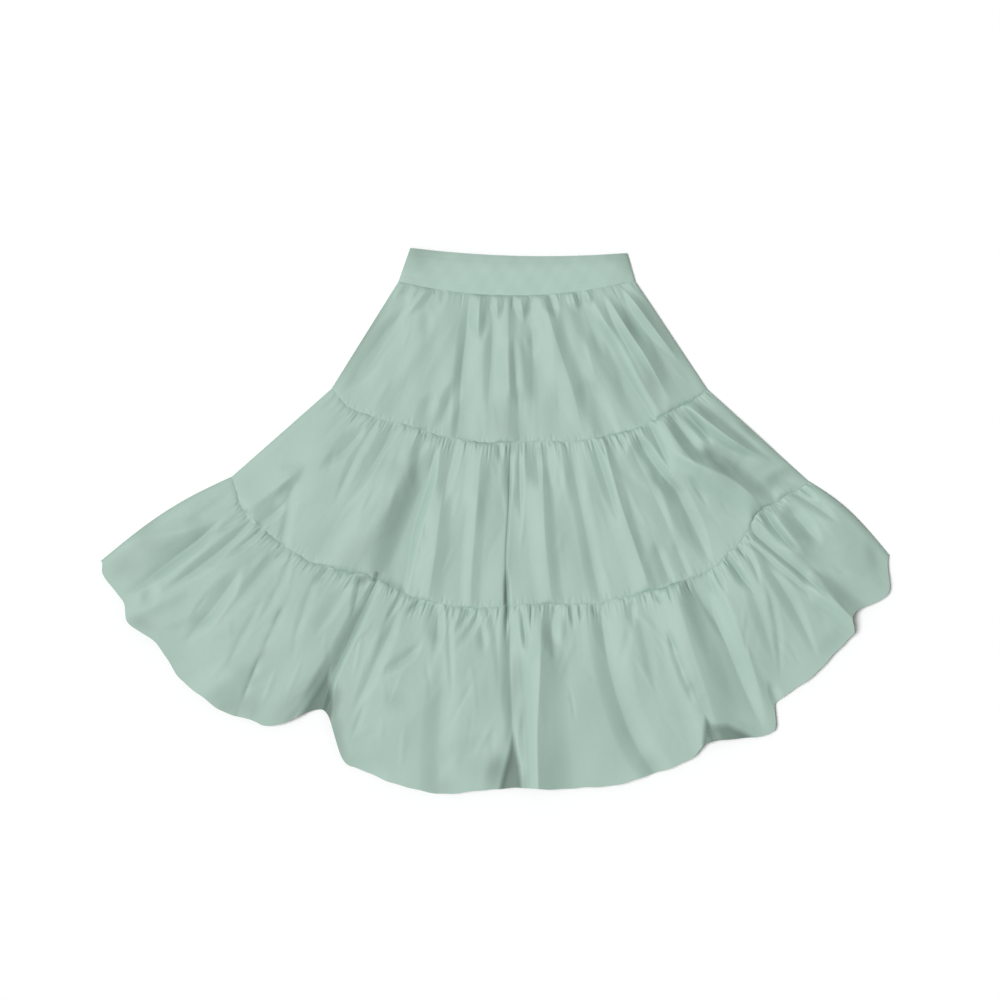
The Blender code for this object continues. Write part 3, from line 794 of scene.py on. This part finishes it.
firstTier = {
    "number": 1,
    "lines": ("waistSeam", "upperSeam"),
    "depth": 0.240,
    "columns": 520,
    "rows": 62,
    "backRows": 31,
    "closeRows": 0.07,        # part over which the rows close up at the foot
    "underSeam": (-0.008, -0.0012),
    "above": 0.0012,          # the front's rise over the back at the upper seam
    "seamRise": 0.0035,       # at the lower seam
    "rise": 0.0080,           # and between the seams
    "quick": 0.5,             # how much of the rise comes quickly under the seam
    "over": 0.009,            # and over what distance
    "puff": 0.0004,
    "groove": 0.0002,
    "seed": 11,
    "faint": 36,              # number of faint creases
    "frontGathers": 26,
    "backGathers": 18,
    "gatherDepth": 1.6,       # the deepest, in mm
    # rows for placed and foldRelief
    "folds": (
        (14, 50, 99, 71, 58, 24, 18, 16, 8, -50, 2), (-2, 6, 15, 16, 18, 26, 13, 9, 5, 34, 3),
        (-2, 6, 16, 80, 79, 76, 9, 7, 5, 30, 3), (-1, 11, 25, 132, 114, 97, 12, 13, 7, 34, 4),
        (12, 24, 40, 142, 170, 188, 14, 12, 6, -7, 0), (-2, 4, 12, 198, 198, 199, 7, 6, 3, -10, 3),
        (2, 45, 104, 305, 323, 345, 13, 11, 15, -26, 4),
        (58, 80, 100, 318, 300, 274, 14, 14, 8, -16, 1),
        (72, 88, 103, 254, 250, 240, 14, 14, 8, -16, 1),
        (-3, 10, 34, 346, 352, 368, 22, 12, 8, 34, 4),
        (10, 22, 34, 382, 381, 380, 10, 10, 4, -8, 1),
        (10, 48, 86, 404, 412, 416, 12, 12, 8, -13, 4), (-2, 6, 18, 420, 421, 428, 12, 8, 5, 26, 3),
        (-2, 40, 80, 462, 470, 470, 12, 14, 10, 14, 6),
        (24, 60, 104, 477, 475, 470, 32, 44, 12, 26, 1),
        (26, 54, 80, 488, 490, 500, 11, 12, 6, -18, 3),
        (60, 86, 110, 500, 499, 500, 30, 36, 12, -22, 2),
        (-2, 28, 92, 556, 554, 528, 20, 16, 14, -15, 4),
        (18, 31, 44, 549, 549, 547, 9, 8, 5, -12, 2), (-2, 6, 18, 518, 521, 530, 17, 10, 6, 32, 3),
        (-2, 35, 100, 603, 638, 664, 17, 22, 16, 30, 4),
        (-2, 7, 18, 640, 642, 650, 18, 12, 5, -24, 2),
        (56, 82, 106, 704, 718, 729, 30, 18, 9, -24, 1),
        (-2, 20, 50, 764, 764, 770, 22, 22, 8, -23, 2),
        (-2, 5, 14, 729, 731, 737, 15, 10, 6, 30, 3),
        (16, 58, 104, 790, 820, 842, 30, 30, 7, -36, 2),
        (2, 45, 102, 800, 829, 852, 24, 20, 7, 30, 5), (-2, 4, 12, 797, 794, 790, 8, 6, 4, 22, 3),
        (3, 36, 92, 860, 882, 902, 18, 24, 7, 56, 6),
        (20, 60, 104, 872, 892, 908, 20, 18, 9, 26, 5),
        (2, 32, 72, 938, 957, 980, 16, 12, 6, 60, 6),
        (35, 75, 110, 925, 925, 930, 40, 46, 20, 20, 2),
    ),
    # soft shade beside and under the larger folds, rows for patches, darkness in hundredths
    "shades": (
        (45, 55, 14, 40, 10), (965, 27, 12, 22, 20), (892, 30, 14, 20, 18), (475, 55, 22, 30, 8),
        (0, 52, 17, 62, 46), (446, 86, 20, 26, 24), (876, 79, 17, 24, 36), (295, 80, 12, 16, 18),
        (256, 96, 15, 12, 18), (772, 18, 10, 12, 18),
    ),
    "swells": (),
}
tier1Front, tier1Back = makeUpperTier(firstTier)

secondTier = {
    "number": 2,
    "lines": ("upperSeam", "lowerSeam"),
    "depth": 0.260,
    "columns": 720,
    "rows": 64,
    "backRows": 32,
    "closeRows": 0.07,
    "underSeam": (-0.008, -0.004),
    "above": 0.0035,
    "seamRise": 0.0050,
    "rise": 0.0115,
    "quick": 0.35,
    "over": 0.014,
    "puff": 0.0011,
    "groove": 0.0009,
    "seed": 22,
    "faint": 70,
    "frontGathers": 50,
    "backGathers": 30,
    "gatherDepth": 2.2,
    "folds": (
        (-3, 5, 18, 21, 21, 21, 6, 5, 3, -10, 3), (-3, 14, 36, 65, 64, 66, 9, 8, 4, -4, 2),
        (5, 20, 48, 122, 121, 102, 22, 16, 5, -18, 2), (48, 74, 104, 74, 63, 46, 13, 18, 14, 34, 3),
        (60, 81, 104, 74, 101, 128, 8, 8, 7, -11, 2), (70, 88, 103, 86, 86, 76, 13, 12, 5, -20, 2),
        (-3, 20, 64, 139, 143, 160, 12, 8, 6, -13, 2),
        (-3, 22, 58, 187, 185, 184, 22, 24, 4, -21, 3),
        (6, 38, 74, 192, 208, 217, 8, 8, 6, -5.5, 2),
        (14, 50, 104, 254, 247, 236, 28, 44, 26, 32, 0),
        (-2, 17, 42, 257, 269, 281, 10, 16, 8, -16, 2),
        (2, 50, 104, 298, 303, 312, 28, 52, 7, -48, 3.5),
        (-3, 15, 44, 341, 342, 348, 20, 16, 6, -21, 4),
        (26, 64, 104, 341, 352, 362, 18, 20, 12, 19, 5),
        (-3, 20, 58, 407, 410, 417, 28, 24, 10, 19, 5),
        (26, 62, 104, 413, 419, 425, 14, 14, 8, 16, 3),
        (12, 28, 46, 431, 431, 433, 12, 12, 6, -4, 0), (-3, 5, 13, 452, 453, 456, 12, 8, 3, -20, 3),
        (-3, 15, 44, 477, 477.5, 479, 15, 7, 6, -17, 2),
        (-3, 20, 50, 500, 501, 503, 14, 12, 4, -22, 3),
        (0, 14, 31, 541, 541, 540, 22, 20, 4, -24, 2),
        (-3, 8, 30, 566, 566, 565, 22, 16, 6, -16, 1),
        (6, 50, 104, 552, 549, 551, 15, 17, 12, 22, 4),
        (-3, 50, 104, 626, 623, 628, 12, 14, 8, -16, 2),
        (-3, 16, 58, 682, 684, 688, 11, 12, 4, -26, 2), (-3, 5, 14, 700, 701, 702, 6, 5, 2, -16, 4),
        (-3, 50, 104, 706, 702, 703, 12, 14, 12, 27, 6),
        (70, 88, 103, 736, 736, 737, 16, 14, 5, -16, 3),
        (-3, 5, 14, 750, 750, 751, 6, 5, 2, -14, 4), (6, 40, 78, 764, 766, 768, 34, 28, 6, -18, 1),
        (2, 24, 53, 792, 792, 822, 22, 40, 7, -46, 4),
        (-3, 18, 50, 773, 770, 786, 22, 30, 14, 24, 2),
        (34, 66, 100, 811, 808, 801, 30, 18, 8, -40, 3),
        (74, 88, 103, 768, 766, 764, 13, 12, 4, -12, 2),
        (-3, 12, 34, 826, 824, 820, 11, 9, 4, -24, 2), (42, 55, 70, 846, 846, 844, 6, 6, 3, -12, 3),
        (-3, 15, 44, 891, 888, 892, 22, 24, 8, -30, 4),
        (-3, 15, 48, 866, 863, 872, 22, 26, 10, 34, 5),
        (20, 48, 106, 834, 884, 918, 30, 22, 17, 74, 7.5),
        (-3, 14, 40, 925, 923, 918, 14, 12, 4, -50, 3),
        (-2, 30, 74, 934, 949, 985, 18, 13, 8, 84, 6),
    ),
    "shades": (
        (262, 66, 34, 42, 14), (960, 85, 38, 9, 26), (905, 56, 20, 26, 26), (875, 20, 16, 20, 14),
        (800, 46, 20, 14, 16), (975, 22, 12, 14, 16), (72, 70, 9, 12, 22), (560, 50, 14, 50, 6),
        (228, 88, 28, 28, 22), (478, 82, 9, 26, 18), (778, 36, 13, 11, 28), (909, 41, 22, 10, 26),
        (221, 62, 14, 14, 14), (278, 3, 15, 6, 18), (483, 55, 14, 48, 16), (482, 3, 12, 7, 28),
        (554, 6, 14, 8, 20), (898, 38, 18, 9, 22), (994, 87, 18, 10, 22), (907, 8, 11, 18, 32),
        (955, 16, 12, 14, 16), (927, 54, 17, 20, 34), (993, 42, 9, 14, 22),
    ),
    # broad swells and hollows, rows for patches, height in mm
    "swells": (
        (978, 86, 32, 8, -4.0), (960, 96.5, 24, 6, 3.6), (966, 66, 22, 10, 2.4),
        (86, 79, 14, 6, 2.6), (242, 17, 15, 10, 1.8),
    ),
}
tier2Front, tier2Back = makeUpperTier(secondTier)

lowestTier = {
    "number": 3,
    "lines": ("lowerSeam", "hem"),
    "depth": 0.270,
    "columns": 1100,
    "rows": 62,
    "backRows": 62,
    "closeRows": 0.04,
    "underSeam": (-0.008, -0.004),
    "above": 0.0050,
    "rise": 0.0150,
    "hemRise": 0.009,         # the rise at the hem
    "hemFall": 0.003,         # which is this much less on the right
    "quick": 0.35,
    "over": 0.014,
    "puff": 0.0011,
    "groove": 0.0009,
    "seed": 33,
    "faint": 120,
    "frontGathers": 76,
    "backGathers": 44,
    "gatherDepth": 2.6,
    "folds": (
        (2, 20, 48, 22, 22, 24, 8, 8, 4, -14, 3), (12, 45, 101, 40.5, 44.5, 43, 7, 44, 7, -46, 3),
        (22, 56, 86, 40, 20, -4, 22, 30, 10, 34, 6), (-2, 10, 28, 56, 53, 46, 10, 8, 5, -18, 3),
        (-2, 22, 74, 67, 72, 64, 13, 12, 7, -28, 2), (-2, 12, 34, 87, 87, 85, 9, 8, 4, -22, 3),
        (26, 52, 88, 109, 117, 124, 16, 30, 9, -26, 2), (58, 74, 95, 124, 114, 94, 10, 9, 6, -9, 2),
        (-2, 22, 70, 130, 132, 137, 14, 10, 8, -11, 1),
        (0, 15, 54, 146, 158, 170, 7, 7, 5, -5.5, 2), (30, 60, 82, 154, 168, 177, 8, 8, 5, -5, 1),
        (58, 76, 110, 84, 75, 60, 14, 16, 9, 10, 3),
        (68, 88, 110, 193, 182, 170, 36, 40, 18, 16, 1),
        (-2, 5, 14, 203, 201, 197, 13, 10, 4, -18, 3), (5, 28, 62, 191, 208, 234, 8, 8, 6, -7.5, 3),
        (3, 26, 44, 241, 241, 239, 18, 20, 6, -13, 1), (-2, 12, 30, 248, 261, 271, 8, 8, 6, -22, 4),
        (2, 42, 82, 322, 326, 322, 15, 14, 7, -18, 1), (-2, 8, 24, 322, 318, 314, 8, 6, 3, -14, 3),
        (-2, 4, 11, 352, 346, 337, 10, 8, 3, -26, 4),
        (22, 36, 50, 373, 355, 328, 16, 14, 5, -24, 3),
        (-3, 10, 27, 370, 385, 396, 22, 20, 6, -27, 3),
        (22, 58, 115, 402, 420, 444, 20, 28, 14, -16, 0),
        (-2, 20, 52, 392, 409, 432, 6, 6, 4, -9, 4), (-2, 6, 16, 424, 422, 408, 8, 10, 4, -19, 4),
        (1, 12, 23, 438, 433, 415, 10, 13, 5, -21, 4),
        (8, 16, 25, 445, 452, 459, 12, 11, 5, -15, 3), (-2, 22, 50, 452, 475, 489, 8, 8, 6, -8, 3),
        (0, 30, 85, 487, 497, 513, 14, 17, 8, -32, 3),
        (14, 50, 110, 499, 516, 534, 11, 12, 8, -24, 3),
        (-2, 12, 28, 500, 511, 519, 7, 7, 4, -22, 4),
        (-3, 11, 32, 556, 551, 558, 15, 18, 8, -22, 2),
        (2, 50, 115, 536, 538, 543, 32, 50, 16, 48, 5), (-2, 5, 14, 581, 581, 582, 7, 5, 3, -20, 4),
        (-2, 3, 10, 594, 594, 594, 6, 5, 3, -18, 4),
        (-3, 45, 115, 627, 630, 678, 20, 24, 15, -28, 3),
        (0, 15, 30, 624, 625, 628, 15, 14, 6, -12, 1),
        (-3, 3, 10, 624, 624, 625, 20, 14, 3, -20, 3), (3, 20, 62, 678, 678, 682, 10, 10, 7, -8, 1),
        (2, 10, 18, 674, 670, 666, 13, 10, 4, -14, 2),
        (16, 27, 38, 661, 652, 640, 10, 10, 5, -7, 1), (-2, 5, 12, 706, 711, 717, 7, 6, 3, -16, 4),
        (22, 45, 84, 712.5, 716, 723, 8, 8, 7, -15, 3),
        (-3, 40, 110, 741, 738, 742, 28, 34, 22, 36, 2),
        (-3, 20, 56, 758, 756, 753, 18, 14, 8, -9, 1),
        (-3, 30, 101, 777, 777, 779, 28, 40, 13, -44, 4),
        (-3, 16, 46, 775.5, 776, 777, 10, 9, 4, -16, 3),
        (-2, 6, 18, 790, 790, 791, 8, 6, 3, -16, 3), (-2, 6, 20, 805, 805, 806, 7, 7, 3, -18, 3),
        (84, 97, 110, 809, 808, 808, 9, 12, 6, -16, 3),
        (-2, 16, 33, 831, 834, 842, 9, 13, 4, -39, 5),
        (20, 48, 80, 842, 834, 822, 16, 14, 9, -15, 1),
        (30, 58, 92, 862, 844, 820, 8, 8, 6, -13, 4), (-2, 12, 32, 849, 858, 850, 8, 7, 4, -16, 4),
        (5, 36, 98, 874, 876, 866, 14, 16, 7, -22, 2), (6, 36, 68, 876, 887, 903, 8, 8, 4, -20, 4),
        (-2, 8, 20, 862, 872, 881, 6, 6, 3, -14, 4), (-3, 42, 92, 880, 903, 921, 9, 9, 8, -36, 6),
        (48, 77, 115, 912, 919, 926, 18, 30, 13, 62, 5),
        (-3, 14, 42, 921, 915, 923, 12, 11, 5, -40, 4),
        (3, 26, 46, 948, 948, 950, 22, 28, 7, -34, 2),
        (3, 24, 50, 928, 927, 928, 20, 26, 10, 24, 2),
        (66, 84, 100, 950, 960, 968, 14, 14, 10, 10, 2),
        (-2, 15, 46, 970, 975, 981, 10, 9, 5, -28, 3), (-2, 6, 20, 984, 984, 985, 7, 6, 3, -28, 4),
    ),
    "shades": (
        (980, 80, 26, 13, 26), (78, 95, 26, 8, 22), (888, 93, 38, 10, 20), (372, 57, 36, 7, 10),
        (318, 98, 44, 11, 42), (260, 90, 30, 28, 26), (28, 60, 30, 26, 16), (936, 45, 34, 34, 14),
        (480, 86, 50, 12, 14), (930, 82, 26, 20, 12), (729, 72, 16, 28, 20), (190, 93, 26, 12, 10),
        (660, 94, 26, 10, 14), (545, 16, 9, 10, 12), (10, 68, 28, 16, 20), (218, 94, 26, 14, 28),
        (258, 3, 12, 7, 60), (266, 12, 9, 9, 24), (497, 89, 26, 17, 34), (508, 47, 16, 26, 24),
        (918, 61, 14, 13, 38), (929, 4, 16, 7, 22), (21, 86, 26, 14, 22), (299, 91, 19, 16, 55),
        (447, 98, 24, 12, 22), (917, 36, 11, 13, 24), (268, 76, 12, 24, 40), (518, 62, 10, 14, 24),
        (503, 72, 10, 10, 16), (265, 97, 12, 10, 30), (766, 97, 26, 10, 22), (527, 97, 12, 10, 24),
    ),
    "swells": (
        (562, 14, 14, 10, 2.0), (937, 52, 36, 16, -2.5), (58, 80, 22, 8, -2.6),
        (372, 58, 34, 9, -2.2), (472, 78, 60, 10, -2.6), (506, 94, 34, 16, -3.5),
        (345, 104, 70, 15, -7.0), (210, 102, 26, 18, -3.5),
    ),
}


def stretch(start, end, columns):
    # even columns from one share to another, at the whole width's spacing
    return np.linspace(start, end, max(2, round(columns * (end - start))))


def makeLowestTier(tier):
    # the middle strip between the two joins, and the outer ones from a join round the side edge
    # to the back's join
    left, right, back = joins["left"][0], joins["right"][0], joins["back"]
    front, quarter = tier["columns"], tier["columns"] // 4
    centreSheet = frontSheet(tier, stretch(left, right, front))
    leftSheet = wrapped(frontSheet(tier, stretch(0.0, left, front)),
                        backSheet(tier, stretch(0.0, back, quarter)), True)
    rightSheet = wrapped(frontSheet(tier, stretch(right, 1.0, front)),
                         backSheet(tier, stretch(back, 1.0, quarter)), False)
    centreStrip = makeCloth("tier3Centre", "tier_3_centre", centreSheet, tierCloth)
    leftStrip = makeCloth("tier3Left", "tier_3_left", leftSheet, tierCloth)
    rightStrip = makeCloth("tier3Right", "tier_3_right", rightSheet, tierCloth)
    return leftStrip, centreStrip, rightStrip


tier3Left, tier3Centre, tier3Right = makeLowestTier(lowestTier)

studio = {
    "floor": (0.985, 0.985, 0.982, 1.0),
    "floorReach": 6.0,
    "floorDrop": 0.0003,      # the floor lies this far below the cloth
    "keyFrom": (-0.52, 0.02, 1.0),
    "keySoftness": 28.0,      # degrees across
    "keyPower": 2.59,
    "sky": (0.97, 0.99, 1.0, 1.0),
    "ambient": 0.30,
    "cameraHeight": 3.4,
    "viewWidth": 1.56,        # metres across the picture
    "viewMiddle": (0.0055, 0.0304),
    "sensor": 36.0,
}


def makeFloor():
    # one square, with its corners at plus and minus the reach
    reach, low = studio["floorReach"], -studio["floorDrop"]
    corners = [(x * reach, y * reach, low) for x, y in ((-1, -1), (1, -1), (1, 1), (-1, 1))]
    mesh = bpy.data.meshes.new("floor")
    mesh.from_pydata(corners, [], [(0, 1, 2, 3)])
    floor = addObject("floor", mesh)
    material = bpy.data.materials.new("paleFloor")
    material.use_nodes = True
    tree = material.node_tree
    setInputs(tree, tree.nodes["Principled BSDF"], {
        "Base Color": studio["floor"], "Roughness": 0.9, "Specular IOR Level": 0.1,
    })
    mesh.materials.append(material)


def makeLight():
    # a wide soft sun whose -Z axis points from keyFrom to the middle, and an even pale sky
    light = bpy.data.lights.new("key", "SUN")
    light.energy = studio["keyPower"]
    light.angle = math.radians(studio["keySoftness"])
    lamp = addObject("key", light)
    x, y, z = studio["keyFrom"]
    lamp.rotation_euler = (math.atan2(math.hypot(x, y), z), 0.0, math.atan2(x, -y))
    world = bpy.data.worlds.new("studio")
    world.use_nodes = True
    setInputs(world.node_tree, world.node_tree.nodes["Background"], {
        "Color": studio["sky"], "Strength": studio["ambient"],
    })
    bpy.context.scene.world = world


def makeCamera():
    # straight above, its focal length being sensor x height / width of the view
    lens = bpy.data.cameras.new("camera")
    lens.sensor_width = studio["sensor"]
    lens.lens = studio["sensor"] * studio["cameraHeight"] / studio["viewWidth"]
    camera = addObject("camera", lens)
    camera.location = (*studio["viewMiddle"], studio["cameraHeight"])
    bpy.context.scene.camera = camera
    bpy.context.scene.view_settings.view_transform = "Standard"


makeFloor()
makeLight()
makeCamera()
print("floor, light and camera ready")
